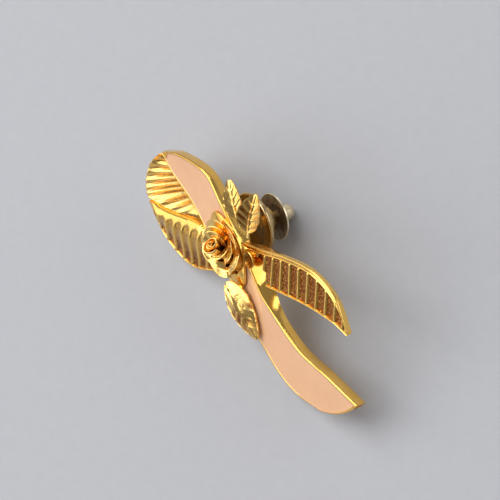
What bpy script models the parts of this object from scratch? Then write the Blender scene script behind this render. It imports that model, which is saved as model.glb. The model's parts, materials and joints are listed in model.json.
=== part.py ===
"""Ribbon-and-rose lapel pin with a ball-lock clutch.

Every piece is drawn in millimetres in the badge frame: u runs across the badge, v runs up
towards the ribbon loop and n points out of the front, with n = 0 on the flat back.  The badge
frame is then laid on the table the way the pin comes to rest and the meshes become metres.
"""
import math

import bmesh
import bpy
import numpy as np
from mathutils import Matrix, Vector

MM = 0.001
GAP = 0.03                 # clearance left between pieces that touch in the real pin
SMOOTH_ANGLE = math.radians(38)

# ---- ribbon: each band is the strip between a left and a right edge, seen from the front ----
FRONT_LEFT = [(-9.1, -21.8), (-10.6, -17.3), (-10.5, -13.3), (-8.6, -8.4), (-5.3, -2.4),
              (-2.2, 3.7), (-0.9, 7.6), (-0.1, 11.8), (0.9, 14.3)]
FRONT_RIGHT = [(-2.9, -27.4), (-3.6, -21.6), (-4.4, -15.8), (-2.8, -9.3), (0.4, -4.1),
               (3.7, 1.9), (5.0, 5.9), (3.4, 11.2), (1.5, 14.1)]
BACK_LEFT = [(-7.1, 14.8), (-9.9, 11.2), (-9.8, 5.4), (-6.4, 0.2), (-2.9, -5.2),
             (0.5, -11.9), (2.6, -16.6), (3.9, -20.6), (4.3, -23.2)]
BACK_RIGHT = [(-6.4, 14.4), (-5.2, 10.8), (-2.6, 5.8), (0.0, -0.6), (2.2, -5.1),
              (5.6, -10.8), (7.6, -15.7), (7.3, -20.0), (4.8, -23.1)]
BAND_THICK = 1.4           # enamelled band, flat back to rim
CROSSING_RISE = 0.2        # extra height where the enamelled band crosses over the other
BRIDGE_UNDERSIDE = 0.8     # the enamelled band is cut away below this to let the other through
END_BOW = 0.7              # how far the cut end of the enamelled tail bulges
RIM_WIDE = 0.33
RIM_ROUND = 0.15
POOL_DEEP = 0.35
ENAMEL_BELOW_RIM = 0.06
SIDE_DRAFT = 0.25          # the band's sides lean in this much towards the back
FLARE_WIDE = 1.9           # foot of the enamelled band where it runs down on to the ribbed one
FLARE_AT = 19.5
FLARE_SPREAD = 4.0

LEG_CROWN = 0.45           # hump of the ribbed leg between its edges
LEG_TIP_RISE = 0.35        # the leg's tip curls up to meet the arch
LEG_RIB_PITCH = 1.75
LEG_RIB_HIGH = 0.22
TAIL_RIB_PITCH = 1.75
TAIL_RIB_WIDE = 0.32
TAIL_FLOOR_DROP = 0.3
TAIL_RIM_LEFT = 0.18
TAIL_RIM_RIGHT = 0.5
TAIL_RISE = 0.55           # the ribbed tail stands this far clear of the back plane
LEG_END = 18.2             # along the ribbed band: the leg's ribs stop at the crossing
TAIL_START = 18.8          # and the tail's ribs start here

# ---- enamel pools, as distances along the enamelled band ----
TAIL_POOL_END = 21.5
LOOP_POOL_START = 27.5
LOOP_POOL_MARGIN = 0.9

# ---- inside of the loop: pleats running from the arch down to the enamelled leg ----
ARCH = [(0.8, 14.6), (-1.6, 15.9), (-4.2, 16.3), (-5.9, 15.9), (-6.75, 15.2)]
FOLD_ALONG_FRONT = 10.1    # the fold ends where the two bands begin to cross
FOLD_ALONG_BACK = 9.1
FOLD_FLOOR = 0.4
ARCH_HIGH = 1.75
ARCH_CLIMB = 0.15          # the arch stands this much taller where it meets the leg
FOLD_END_HIGH = 0.9        # the scoop's outer edge comes down to this beside the leg
PLEATS = 7
PLEAT_HIGH = 0.22

# ---- rose ----
PLATE_AT = (-1.1, -1.4)
ROSE = (-1.0, -1.9)
PLATE_LONG = 4.5
PLATE_WIDE = 2.9
PLATE_TURN = math.radians(53)
PLATE_THICK = 0.25
PETAL_THICK = 0.22
LEAF_THICK = 0.26
LEAF_ARCH = 0.35
LEAF_STEPS = 14
STALK_HALF = 0.2
ROSE_LEAN = (0.75, 0.1)    # sideways lean per millimetre of height
ROSE_DROP = (0.1, -0.08)   # each petal's top drops by this share of its height per millimetre out
ROSE_SEAT = BAND_THICK + CROSSING_RISE + GAP
PETAL_SEAT = ROSE_SEAT + PLATE_THICK + GAP
LOW_SIDE = math.radians(-39)  # the outer petals stand taller and closer round this side
BUD = (0.8, -5.45)
BUD_R = 1.1
BUD_SEAT = 1.28
BUD_TALL = 0.75

# ---- post and clutch: distances behind the badge, along the post ----
POST = (-0.5, 0.4)
POST_R = 0.5
PAD_R = 1.6
PAD_THICK = 0.45
CLUTCH_AT = 2.65           # clutch face, behind the badge back
DISC_R = 3.9
BARREL_R = 1.8
BARREL_BORE = 1.5
BARREL_END = 2.26
CAP_FLANGE_AT = 3.1
CAP_FLANGE_R = 2.9
DOME_R = 1.05
DOME_CENTRE = 4.85
BALL_R = 0.3
BALL_AT = 1.0
BALL_RING = POST_R + BALL_R + 0.01
CONE_ANGLE = math.radians(22)
ROUND_STEPS = 24

GOLD = ("gold_plate", (0.83, 0.60, 0.22), 1.0, 0.25)
BRONZE = ("clutch_plate", (0.50, 0.42, 0.28), 1.0, 0.35)
STEEL = ("spring_steel", (0.55, 0.56, 0.58), 1.0, 0.30)
PINK = ("pink_enamel", (0.83, 0.52, 0.42), 0.0, 0.12)


# ---------------------------------------------------------------- helpers
def clear_scene():
    for obj in list(bpy.data.objects):
        bpy.data.objects.remove(obj, do_unlink=True)


def material(look):
    name, colour, metallic, roughness = look
    mat = bpy.data.materials.get(name) or bpy.data.materials.new(name)
    mat.use_nodes = True
    shader = mat.node_tree.nodes["Principled BSDF"]
    shader.inputs["Base Color"].default_value = (*colour, 1.0)
    shader.inputs["Metallic"].default_value = metallic
    shader.inputs["Roughness"].default_value = roughness
    return mat


def add_object(name, bm):
    bmesh.ops.recalc_face_normals(bm, faces=bm.faces)
    mesh = bpy.data.meshes.new(name)
    bm.to_mesh(mesh)
    bm.free()
    obj = bpy.data.objects.new(name, mesh)
    bpy.context.scene.collection.objects.link(obj)
    return obj


def finish(obj, look, frame, origin=(0.0, 0.0, 0.0)):
    """Turn a millimetre mesh into metres, with its origin at the given badge point."""
    origin = Vector(origin)
    obj.data.transform(Matrix.Scale(MM, 4) @ Matrix.Translation(-origin))
    obj.data.materials.clear()
    obj.data.materials.append(material(look))
    obj.data.shade_smooth()
    obj.data.set_sharp_from_angle(angle=SMOOTH_ANGLE)
    obj.parent = frame
    obj.location = origin * MM
    return obj


def slab(name, top, bottom):
    """Closed body between two grids of points with the same rows and columns."""
    rows = len(top)
    cols = len(top[0])
    bm = bmesh.new()
    upper = [[bm.verts.new(p) for p in row] for row in top]
    lower = [[bm.verts.new(p) for p in row] for row in bottom]
    for i in range(rows - 1):
        for j in range(cols - 1):
            bm.faces.new((upper[i][j], upper[i][j + 1], upper[i + 1][j + 1], upper[i + 1][j]))
            bm.faces.new((lower[i][j], lower[i + 1][j], lower[i + 1][j + 1], lower[i][j + 1]))
    for i in range(rows - 1):
        for j in (0, cols - 1):
            bm.faces.new((upper[i][j], upper[i + 1][j], lower[i + 1][j], lower[i][j]))
    for j in range(cols - 1):
        for i in (0, rows - 1):
            bm.faces.new((upper[i][j], lower[i][j], lower[i][j + 1], upper[i][j + 1]))
    return add_object(name, bm)


def lathe(name, profile, steps=ROUND_STEPS):
    """Spin a closed (radius, n) outline about the n axis."""
    bm = bmesh.new()
    verts = [bm.verts.new((r, 0.0, n)) for r, n in profile]
    edges = [bm.edges.new((a, b)) for a, b in zip(verts, verts[1:] + verts[:1])]
    bmesh.ops.spin(bm, geom=verts + edges, cent=(0, 0, 0), axis=(0, 0, 1),
                   angle=2 * math.pi, steps=steps, use_merge=True)
    bmesh.ops.remove_doubles(bm, verts=bm.verts, dist=1e-4)
    loose = [e for e in bm.edges if not e.link_faces]
    bmesh.ops.delete(bm, geom=loose, context="EDGES")
    return add_object(name, bm)


def cut(obj, cutter):
    """Take the cutter's volume out of the object."""
    modifier = obj.modifiers.new("cut", "BOOLEAN")
    modifier.operation = "DIFFERENCE"
    modifier.solver = "EXACT"
    modifier.object = cutter
    shape = obj.evaluated_get(bpy.context.evaluated_depsgraph_get())
    result = bpy.data.meshes.new_from_object(shape)
    obj.modifiers.clear()
    obj.data = result
    bpy.data.objects.remove(cutter, do_unlink=True)


def smooth_curve(points, samples=14):
    """Dense Catmull-Rom polyline through the points."""
    pts = np.array(points, float)
    ends = np.vstack([2 * pts[0] - pts[1], pts, 2 * pts[-1] - pts[-2]])
    out = []
    for a, b, c, d in zip(ends, ends[1:], ends[2:], ends[3:]):
        for t in np.linspace(0.0, 1.0, samples, endpoint=False):
            out.append(0.5 * (2 * b + (c - a) * t + (2 * a - 5 * b + 4 * c - d) * t ** 2
                              + (3 * b - a - 3 * c + d) * t ** 3))
    out.append(pts[-1])
    return np.array(out)


def ease(x):
    """Smooth step from 0 to 1 as x goes from 0 to 1."""
    x = min(1.0, max(0.0, x))
    return x * x * (3 - 2 * x)


class Band:
    """A ribbon strip, addressed by distance along its centre line."""

    def __init__(self, left, right):
        self.left = smooth_curve(left)
        self.right = smooth_curve(right)
        centre = (self.left + self.right) / 2
        steps = np.linalg.norm(np.diff(centre, axis=0), axis=1)
        self.along = np.concatenate([[0.0], np.cumsum(steps)])
        self.length = float(self.along[-1])

    def edges(self, at):
        left = np.array([np.interp(at, self.along, self.left[:, k]) for k in (0, 1)])
        right = np.array([np.interp(at, self.along, self.right[:, k]) for k in (0, 1)])
        return left, right

    def width(self, at):
        left, right = self.edges(at)
        return float(np.linalg.norm(right - left))

    def point(self, at, inset, height, bow=0.0):
        """Badge point 'inset' in from the left edge, pushed 'bow' back along the strip."""
        left, right = self.edges(at)
        across = (right - left) / np.linalg.norm(right - left)
        spot = left + across * inset + np.array([across[1], -across[0]]) * bow
        return (float(spot[0]), float(spot[1]), height)


FRONT = Band(FRONT_LEFT, FRONT_RIGHT)
BACK = Band(BACK_LEFT, BACK_RIGHT)
TAIL_POOL = (RIM_WIDE, TAIL_POOL_END)
LOOP_POOL = (LOOP_POOL_START, FRONT.length - LOOP_POOL_MARGIN)


# ---------------------------------------------------------------- enamelled band
def front_height(at):
    rise = ease((at - 13.0) / 5.0) - ease((at - 29.0) / 5.0)
    return BAND_THICK + CROSSING_RISE * rise


def flare(at):
    return FLARE_WIDE * math.exp(-((at - FLARE_AT) / FLARE_SPREAD) ** 2)


def front_row(at, columns):
    """Points across the enamelled band; its tail end is bowed outwards."""
    width = FRONT.width(at)
    row = []
    for inset, height in columns:
        share = min(1.0, max(0.0, inset / width))
        bow = END_BOW * 4 * share * (1 - share) * (1 - ease(at / 8.0))
        row.append(FRONT.point(at, inset, height, bow))
    return row


def spread(start, end, parts):
    return [start + (end - start) * k / parts for k in range(parts + 1)]


def enamelled_band():
    top = []
    bottom = []
    for at in spread(0.0, FRONT.length, 38):
        width = FRONT.width(at)
        high = front_height(at)
        soft = min(RIM_ROUND, width * 0.3)
        inner = spread(soft, width - soft, 4)
        foot = width - SIDE_DRAFT + flare(at)
        top.append(front_row(at, [(0.0, high - soft)] + [(i, high) for i in inner]
                             + [(width, high - soft)]))
        base = [min(width * 0.3, SIDE_DRAFT)] + spread(width * 0.35, width * 0.65, 4) + [foot]
        bottom.append(front_row(at, [(i, 0.0) for i in base]))
    band = slab("ribbon_enamelled_band", top, bottom)
    for span in (TAIL_POOL, LOOP_POOL):
        cut(band, pool("pool", span, RIM_WIDE, -POOL_DEEP, 1.0))
    cut(band, underpass())
    return band


def pool(name, span, margin, floor, surface):
    """Strip of the enamelled band set in from its edges, between two heights off the rim."""
    top = []
    bottom = []
    for at in spread(span[0], span[1], 20):
        inner = spread(margin, FRONT.width(at) - margin, 4)
        high = front_height(at)
        top.append(front_row(at, [(i, high + surface) for i in inner]))
        bottom.append(front_row(at, [(i, high + floor) for i in inner]))
    return slab(name, top, bottom)


def enamel(name, span):
    inside = (span[0] + GAP, span[1] - GAP)
    return pool(name, inside, RIM_WIDE + GAP, GAP - POOL_DEEP, -ENAMEL_BELOW_RIM)


def underpass():
    """Slot under the enamelled band that the ribbed band runs through."""
    top = []
    bottom = []
    for at in spread(8.0, BACK.length - 13.0, 24):
        columns = spread(-GAP, BACK.width(at) + GAP, 1)
        top.append([BACK.point(at, i, BRIDGE_UNDERSIDE) for i in columns])
        bottom.append([BACK.point(at, i, -1.0) for i in columns])
    return slab("underpass", top, bottom)


# ---------------------------------------------------------------- ribbed band
def ribbed_base(at):
    """Heights of the left edge, right edge and back of the ribbed band."""
    leg = 1 - ease((at - 12.0) / 6.0)
    tip = LEG_TIP_RISE * (1 - ease(at / 3.0))
    left = 1.25 + 0.25 * leg + tip
    right = 1.25 + 0.85 * leg - 0.3 * leg * (1 - ease(at / 3.0)) + tip
    back = TAIL_RISE * ease((at - 22.0) / 6.0)
    return left, right, back


def rib_wave(at):
    return 0.5 + 0.5 * math.cos(2 * math.pi * at / LEG_RIB_PITCH)


def ribbed_rows():
    """Distances along the ribbed band that keep each rib crisp."""
    rows = spread(0.0, LEG_END, int(LEG_END / LEG_RIB_PITCH) * 2)
    ribs = int((BACK.length - 1.2 - TAIL_START) / TAIL_RIB_PITCH)
    for k in range(ribs):
        start = TAIL_START + k * TAIL_RIB_PITCH
        half = TAIL_RIB_WIDE / 2
        rows += [start - half - 0.08, start - half, start + half, start + half + 0.08]
    return rows + [BACK.length - 0.6, BACK.length]


def on_tail_rib(at):
    offset = (at - TAIL_START + TAIL_RIB_PITCH / 2) % TAIL_RIB_PITCH - TAIL_RIB_PITCH / 2
    return abs(offset) < TAIL_RIB_WIDE / 2 + 0.01


def leg_profile(at, width):
    left, right, back = ribbed_base(at)
    fade = ease(at / 2.5)
    row = []
    for share in (0.0, 0.06, 0.2, 0.4, 0.6, 0.8, 0.94, 1.0):
        height = left + (right - left) * share
        height += LEG_CROWN * math.sin(math.pi * share) * fade
        if 0.1 < share < 0.9:
            height += LEG_RIB_HIGH * (rib_wave(at) - 1.0) * fade
        row.append((share * width, height))
    return row, back


def tail_profile(at, width):
    left, right, back = ribbed_base(at)
    rim = min(TAIL_RIM_RIGHT, width * 0.3)
    lip = min(TAIL_RIM_LEFT, width * 0.15)
    slope = 0.06
    soft = 0.12
    drop = TAIL_FLOOR_DROP * (0.25 if on_tail_rib(at) else 1.0)
    drop *= 1 - ease((at - BACK.length + 2.2) / 1.4)
    columns = [(0.0, left), (lip, left), (lip + slope, left - drop),
               (width / 2, (left + right) / 2 - drop), (width - rim - slope, right - drop),
               (width - rim, right), (width - soft, right), (width, right - soft)]
    return columns, back


def ribbed_band():
    top = []
    bottom = []
    for at in ribbed_rows():
        width = BACK.width(at)
        shape = leg_profile if at <= LEG_END else tail_profile
        columns, back = shape(at, width)
        top.append([BACK.point(at, i, h) for i, h in columns])
        bottom.append([BACK.point(at, i, back) for i, h in columns])
    band = slab("ribbon_ribbed_band", top, bottom)
    cut(band, crossing_room())
    return band


def crossing_room():
    """Everything the enamelled band fills above the ribbed one."""
    top = []
    bottom = []
    for at in spread(10.0, FRONT.length - 4.0, 30):
        columns = spread(-GAP, FRONT.width(at) + flare(at) + GAP, 1)
        top.append([FRONT.point(at, i, 4.0) for i in columns])
        bottom.append([FRONT.point(at, i, BRIDGE_UNDERSIDE - GAP) for i in columns])
    return slab("crossing_room", top, bottom)


# ---------------------------------------------------------------- inside of the loop
def loop_fold():
    """Scooped sheet closing the loop: pleats fall from the arch to the enamelled leg."""
    arch = smooth_curve(ARCH)
    arch_share = 0.62
    stations = 42
    start_gap = 0.4
    inner = []
    outer = []
    for k in range(stations + 1):
        t = k / stations
        at = FRONT.length - start_gap - t * FOLD_ALONG_FRONT
        inner.append(FRONT.point(at, -2 * GAP, 0.0)[:2])
        if t <= arch_share:
            outer.append(tuple(arch[int(round(t / arch_share * (len(arch) - 1)))]))
        else:
            down = 0.3 + (t - arch_share) / (1 - arch_share) * FOLD_ALONG_BACK
            outer.append(BACK.point(down, BACK.width(down) + 2 * GAP, 0.0)[:2])
    top = []
    bottom = []
    for k in range(stations + 1):
        t = k / stations
        on_arch = ease((arch_share + 0.12 - t) / 0.2)
        high = ARCH_HIGH + ARCH_CLIMB * ease(t / arch_share)
        high += (FOLD_END_HIGH - high) * ease((t - arch_share) / (1 - arch_share))
        pleat = 0.5 - 0.5 * math.cos(2 * math.pi * PLEATS * t / arch_share)
        start = Vector(inner[k])
        end = Vector(outer[k])
        upper = []
        for s in (0.0, 0.25, 0.5, 0.72, 0.88, 1.0):
            spot = start.lerp(end, s)
            height = FOLD_FLOOR + (high - FOLD_FLOOR) * s ** 2.2
            height -= PLEAT_HIGH * pleat * on_arch * math.sin(math.pi * min(1.0, s * 1.05)) ** 0.7
            upper.append((spot.x, spot.y, height))
        top.append(upper)
        bottom.append([(u, v, 0.0) for u, v, _ in upper])
    return slab("ribbon_loop_fold", top, bottom)


# ---------------------------------------------------------------- rose and leaves
def rose_plate():
    rim = 36
    bm = bmesh.new()
    for height in (ROSE_SEAT, ROSE_SEAT + PLATE_THICK):
        ring = []
        for k in range(rim):
            a = 2 * math.pi * k / rim
            lobe = 1.0 + 0.05 * math.cos(4 * a)
            x = PLATE_LONG * lobe * math.cos(a)
            y = PLATE_WIDE * lobe * math.sin(a)
            u = PLATE_AT[0] + x * math.cos(PLATE_TURN) - y * math.sin(PLATE_TURN)
            v = PLATE_AT[1] + x * math.sin(PLATE_TURN) + y * math.cos(PLATE_TURN)
            ring.append(bm.verts.new((u, v, height)))
        bm.faces.new(ring)
    bm.verts.ensure_lookup_table()
    for k in range(rim):
        n = (k + 1) % rim
        bm.faces.new((bm.verts[k], bm.verts[n], bm.verts[rim + n], bm.verts[rim + k]))
    return add_object("rose_plate", bm)


def rose_point(radius, angle, high):
    """Point of the flower, whose head leans and opens towards its low side."""
    out_u = radius * math.cos(angle)
    out_v = radius * math.sin(angle)
    level = PETAL_SEAT + high * (1 - ROSE_DROP[0] * out_u - ROSE_DROP[1] * out_v)
    return (ROSE[0] + ROSE_LEAN[0] * high + out_u, ROSE[1] + ROSE_LEAN[1] * high + out_v, level)


def petal(name, middle, span, radius, high, spill, drift, uneven, steps=8):
    """Cupped petal round the rose's centre; one side tucks inside its neighbour.

    An uneven ring stands taller and closer round the flower's low side.
    """
    outside = []
    inside = []
    for k in range(steps + 1):
        w = 2 * k / steps - 1
        angle = middle + span / 2 * w
        hug = 0.5 + 0.5 * math.cos(angle - LOW_SIDE) if uneven else 0.0
        tall = high * (1 + 0.7 * hug) * (1 - 0.35 * w ** 4)
        lean_out = spill * (1 - 0.6 * hug)
        outer = []
        inner = []
        for h in (0.0, 0.4, 0.8, 1.0):
            r = radius + drift * w + lean_out * h ** 2 * (1 - 0.3 * w * w)
            outer.append(rose_point(r, angle, tall * h))
            inner.append(rose_point(r - PETAL_THICK, angle, tall * h))
        outside.append(outer)
        inside.append(inner)
    return slab(name, outside, inside)


def petals():
    """Three rings: how many, radius, height, outward spill, sideways drift and petal angle."""
    rings = {"inner": (2, 1.38, 2.5, 0.15, 0.17, math.radians(190)),
             "middle": (3, 2.0, 2.1, 0.25, 0.17, math.radians(128)),
             "outer": (5, 2.6, 1.15, 0.95, 0.17, math.radians(82))}
    built = []
    for ring, (count, radius, high, spill, drift, span) in rings.items():
        for k in range(count):
            middle = math.radians(40) + 2 * math.pi * k / count
            name = f"rose_petal_{ring}_{k + 1}"
            built.append(petal(name, middle, span, radius, high, spill, drift,
                               uneven=ring == "outer"))
    return built


def rose_heart():
    """Rolled bud: a sheet wound one and three-quarter turns."""
    outside = []
    inside = []
    turns = 1.75
    steps = 24
    thick = 0.13
    for k in range(steps + 1):
        t = k / steps
        angle = 2 * math.pi * turns * t
        radius = 0.24 + 0.72 * t
        tall = 2.8 - 0.2 * t
        outside.append([rose_point(radius, angle, tall * h) for h in (0.0, 1.0)])
        inside.append([rose_point(radius - thick, angle, tall * h) for h in (0.0, 1.0)])
    return slab("rose_heart", outside, inside)


def leaf(name, base, tip, half_wide, cup, roll, stalk):
    """Pointed leaf on a stalk: 'stalk' is the share of its length before the blade opens."""
    base = Vector(base)
    run = Vector(tip) - base
    ahead = run.normalized()
    side = ahead.cross(Vector((0, 0, 1))).normalized()
    side.rotate(Matrix.Rotation(roll, 3, ahead))
    face = side.cross(ahead).normalized()
    top = []
    bottom = []
    for k in range(LEAF_STEPS + 1):
        t = k / LEAF_STEPS
        along = min(1.0, max(0.0, (t - stalk) / (1 - stalk)))
        wide = STALK_HALF + (half_wide - STALK_HALF) * math.sin(math.pi * along ** 0.8) ** 0.8
        upper = []
        lower = []
        for w in (-1.0, -0.5, 0.0, 0.5, 1.0):
            lift = LEAF_ARCH * math.sin(math.pi * t) + cup * abs(w) ** 1.5 * wide / half_wide
            spot = base + run * t + side * (w * wide) + face * lift
            upper.append(tuple(spot))
            lower.append(tuple(spot - face * LEAF_THICK))
        top.append(upper)
        bottom.append(lower)
    return slab(name, top, bottom)


def leaves():
    return (leaf("leaf_upper", (4.0, -3.1, 2.0), (7.8, 0.9, 1.5), 1.15, 0.3, math.radians(35), 0.2),
            leaf("leaf_side", (3.7, -4.7, 2.0), (9.0, -3.5, 0.9), 1.6, 0.6, math.radians(20), 0.15),
            leaf("leaf_lower", (-4.3, -3.3, 2.75), (-8.5, -9.6, 2.0), 2.1, -0.45,
                 math.radians(-12), 0.0))


def bud_cup():
    """Small round cup on a foot, standing on the ribbed band beside the flower."""
    foot = BUD_R * 0.45
    lip = 0.12
    bud = lathe("bud_cup", [(0.0, 0.0), (foot, 0.0), (foot, 0.15), (BUD_R, BUD_TALL - lip),
                            (BUD_R, BUD_TALL), (BUD_R - lip, BUD_TALL), (BUD_R * 0.6, 0.45),
                            (0.0, 0.3)])
    bud.data.transform(Matrix.Translation((*BUD, BUD_SEAT)))
    return bud


# ---------------------------------------------------------------- post and clutch
def behind(distance):
    """Height in the badge frame of a point this far behind the clutch face."""
    return -(CLUTCH_AT + distance)


def post_pad():
    edge = 0.1
    return lathe("post_pad", [(0.0, -GAP), (PAD_R, -GAP), (PAD_R, edge - PAD_THICK),
                              (PAD_R - edge, -PAD_THICK), (POST_R + GAP, -PAD_THICK),
                              (POST_R + GAP, -GAP * 4), (0.0, -GAP * 4)])


def post():
    tip = behind(5.0)
    groove = 0.08
    profile = [(0.0, -GAP * 5), (POST_R, -GAP * 5)]
    for k in range(3):
        middle = behind(BALL_AT + 1.15 * k)
        profile += [(POST_R, middle + 0.2), (POST_R - groove, middle + 0.1),
                    (POST_R - groove, middle - 0.1), (POST_R, middle - 0.2)]
    profile += [(POST_R, tip + 0.9), (0.0, tip)]
    return lathe("post", profile, steps=20)


def front_disc():
    flat = 2.7
    sheet = 0.16
    hole = POST_R + 0.12
    edge = DISC_R - 0.35
    deep = 0.42
    return lathe("clutch_front_disc", [
        (edge, behind(0.0)), (flat, behind(0.0)), (BARREL_BORE, behind(0.15)), (hole, behind(deep)),
        (hole, behind(deep + sheet)), (BARREL_BORE, behind(0.15 + sheet)), (flat, behind(sheet)),
        (edge, behind(sheet))])


def cone_radius(z):
    return BALL_RING + (BALL_R + 0.01) / math.cos(CONE_ANGLE) + (z - BALL_AT) * math.tan(CONE_ANGLE)


def cone_seat():
    start = 0.54
    end = 1.32
    return lathe("clutch_cone_seat", [
        (cone_radius(start), behind(start)), (BARREL_BORE - GAP, behind(start)),
        (BARREL_BORE - GAP, behind(end)), (cone_radius(end), behind(end))])


def barrel():
    """Outer shell: rolled rim round the front disc, flange, barrel and inturned back lip."""
    lip = 1.02
    under = 0.34
    return lathe("clutch_barrel", [
        (DISC_R - 0.3, behind(0.02)), (DISC_R - 0.08, behind(0.06)), (DISC_R, behind(0.25)),
        (DISC_R, behind(0.45)), (DISC_R - 0.12, behind(0.58)), (DISC_R - 0.4, behind(0.58)),
        (DISC_R - 0.6, behind(0.5)), (BARREL_R + 0.1, behind(0.5)), (BARREL_R, behind(0.6)),
        (BARREL_R, behind(BARREL_END - 0.12)), (BARREL_R - 0.12, behind(BARREL_END)),
        (lip, behind(BARREL_END)), (lip, behind(BARREL_END - 0.12)),
        (BARREL_BORE, behind(BARREL_END - 0.12)), (BARREL_BORE, behind(under)),
        (DISC_R - 0.3, behind(under))])


def ball_cage():
    bore = POST_R + 0.12
    tube = 0.85
    collar = 1.2
    cage = lathe("ball_cage", [
        (bore, behind(0.62)), (tube, behind(0.62)), (tube, behind(1.34)),
        (collar, behind(1.34)), (collar, behind(1.46)), (tube, behind(1.46)),
        (tube, behind(3.8)), (bore, behind(3.8))])
    for spot in ball_centres():
        window = ball_shape("window", BALL_R + 0.015)
        window.data.transform(Matrix.Translation(spot))
        cut(cage, window)
    return cage


def ball_centres():
    spots = []
    for k in range(3):
        angle = math.radians(90 + 120 * k)
        spots.append(Vector((BALL_RING * math.cos(angle), BALL_RING * math.sin(angle),
                             behind(BALL_AT))))
    return spots


def ball_shape(name, radius):
    bm = bmesh.new()
    bmesh.ops.create_uvsphere(bm, u_segments=16, v_segments=8, radius=radius)
    return add_object(name, bm)


def pull_cap():
    """Thin pulling flange with the domed housing the post's point sits in."""
    socket = 0.85 + GAP
    bore = 0.7
    deep = 5.3
    back = CAP_FLANGE_AT + 0.28
    dome = [(DOME_R * math.cos(a), behind(DOME_CENTRE + DOME_R * math.sin(a)))
            for a in spread(0.0, math.pi / 2, 6)]
    return lathe("pull_cap", [
        (socket, behind(CAP_FLANGE_AT)), (CAP_FLANGE_R - 0.1, behind(CAP_FLANGE_AT)),
        (CAP_FLANGE_R, behind(CAP_FLANGE_AT + 0.1)), (CAP_FLANGE_R, behind(back - 0.06)),
        (CAP_FLANGE_R - 0.06, behind(back)), (DOME_R + 0.25, behind(back)),
        (DOME_R, behind(back + 0.2))] + dome[:-1] + [
        (0.0, behind(DOME_CENTRE + DOME_R)), (0.0, behind(deep)), (bore * 0.6, behind(deep)),
        (bore, behind(deep - 0.4)), (bore, behind(3.85)), (socket, behind(3.85))])


def spring():
    """Compression spring between the cage's collar and the barrel's back lip."""
    wire = 0.055
    radius = 1.1
    turns = 2.5
    front = 1.46 + GAP + wire
    back = BARREL_END - 0.12 - GAP - wire
    steps = 44
    sides = 6
    bm = bmesh.new()
    rings = []
    for k in range(steps + 1):
        t = k / steps
        angle = 2 * math.pi * turns * t
        out = Vector((math.cos(angle), math.sin(angle), 0))
        centre = out * radius + Vector((0, 0, behind(front + (back - front) * t)))
        ring = []
        for j in range(sides):
            a = 2 * math.pi * j / sides
            ring.append(bm.verts.new(centre + out * (wire * math.cos(a))
                                     + Vector((0, 0, wire * math.sin(a)))))
        rings.append(ring)
    for a, b in zip(rings, rings[1:]):
        for j in range(sides):
            n = (j + 1) % sides
            bm.faces.new((a[j], a[n], b[n], b[j]))
    bm.faces.new(rings[0])
    bm.faces.new(rings[-1])
    return add_object("clutch_spring", bm)


# ---------------------------------------------------------------- resting pose
def lowest(points, up):
    return min(points, key=lambda p: p.dot(up))


def resting_matrix():
    """Lie the badge on the left edges of both bands and on the clutch's dome."""
    tail_edge = [Vector(FRONT.point(at, 0.0, 0.0)) for at in spread(1.0, 14.0, 60)]
    leg_edge = [Vector(BACK.point(at, 0.0, 0.0)) for at in spread(1.0, 10.0, 60)]
    dome = Vector((*POST, behind(DOME_CENTRE)))
    up = Vector((0.6, 0.0, 0.8))
    for _ in range(6):
        a = lowest(tail_edge, up)
        b = lowest(leg_edge, up)
        line = (b - a).normalized()
        reach = (dome - a) - line * (dome - a).dot(line)
        toward = reach.normalized()
        lift = line.cross(toward)
        sine = DOME_R / reach.length
        level = math.sqrt(1 - sine * sine)
        up = max((toward * sine + lift * level, toward * sine - lift * level), key=lambda w: w.z)
    away = Vector((0, -1, 0))
    x_axis = (away - up * away.dot(up)).normalized()
    y_axis = up.cross(x_axis)
    return Matrix((x_axis, y_axis, up)).to_4x4()


def stand_on_origin(frame):
    """Slide the whole pin so that its bounding box stands centred on the world origin."""
    bpy.context.view_layer.update()
    spots = [obj.matrix_world @ vert.co for obj in bpy.data.objects if obj.type == "MESH"
             for vert in obj.data.vertices]
    low = Vector([min(spot[k] for spot in spots) for k in range(3)])
    high = Vector([max(spot[k] for spot in spots) for k in range(3)])
    frame.location = (-(low.x + high.x) / 2, -(low.y + high.y) / 2, -low.z)


# ---------------------------------------------------------------- the pin
def build():
    clear_scene()
    badge = bpy.data.objects.new("badge_frame", None)
    bpy.context.scene.collection.objects.link(badge)
    badge.matrix_world = resting_matrix()
    clutch = bpy.data.objects.new("clutch_axis", None)
    bpy.context.scene.collection.objects.link(clutch)
    clutch.parent = badge
    clutch.location = Vector((*POST, 0.0)) * MM

    for piece in (enamelled_band(), ribbed_band(), loop_fold(), rose_plate(), rose_heart()):
        finish(piece, GOLD, badge)
    for piece in (enamel("enamel_tail", TAIL_POOL), enamel("enamel_loop", LOOP_POOL)):
        finish(piece, PINK, badge)
    for piece in petals():
        finish(piece, GOLD, badge)
    for piece in leaves():
        finish(piece, GOLD, badge)
    finish(bud_cup(), GOLD, badge)

    for piece in (post_pad(), post()):
        finish(piece, GOLD, clutch)
    for piece in (front_disc(), cone_seat(), barrel(), pull_cap()):
        finish(piece, BRONZE, clutch)
    finish(ball_cage(), BRONZE, clutch)
    finish(spring(), STEEL, clutch)
    for k, spot in enumerate(ball_centres()):
        ball = ball_shape(f"ball_{k + 1}", BALL_R)
        ball.data.transform(Matrix.Translation(spot))
        finish(ball, STEEL, clutch, origin=spot)
    stand_on_origin(badge)


build()
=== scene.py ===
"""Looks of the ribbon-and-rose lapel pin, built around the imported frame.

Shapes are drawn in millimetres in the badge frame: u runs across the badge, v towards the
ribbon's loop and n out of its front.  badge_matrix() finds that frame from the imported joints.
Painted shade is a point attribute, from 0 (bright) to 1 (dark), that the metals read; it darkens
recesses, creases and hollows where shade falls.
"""
import json
import math

import bmesh
import bpy
import numpy as np
from mathutils import Matrix, Vector

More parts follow.
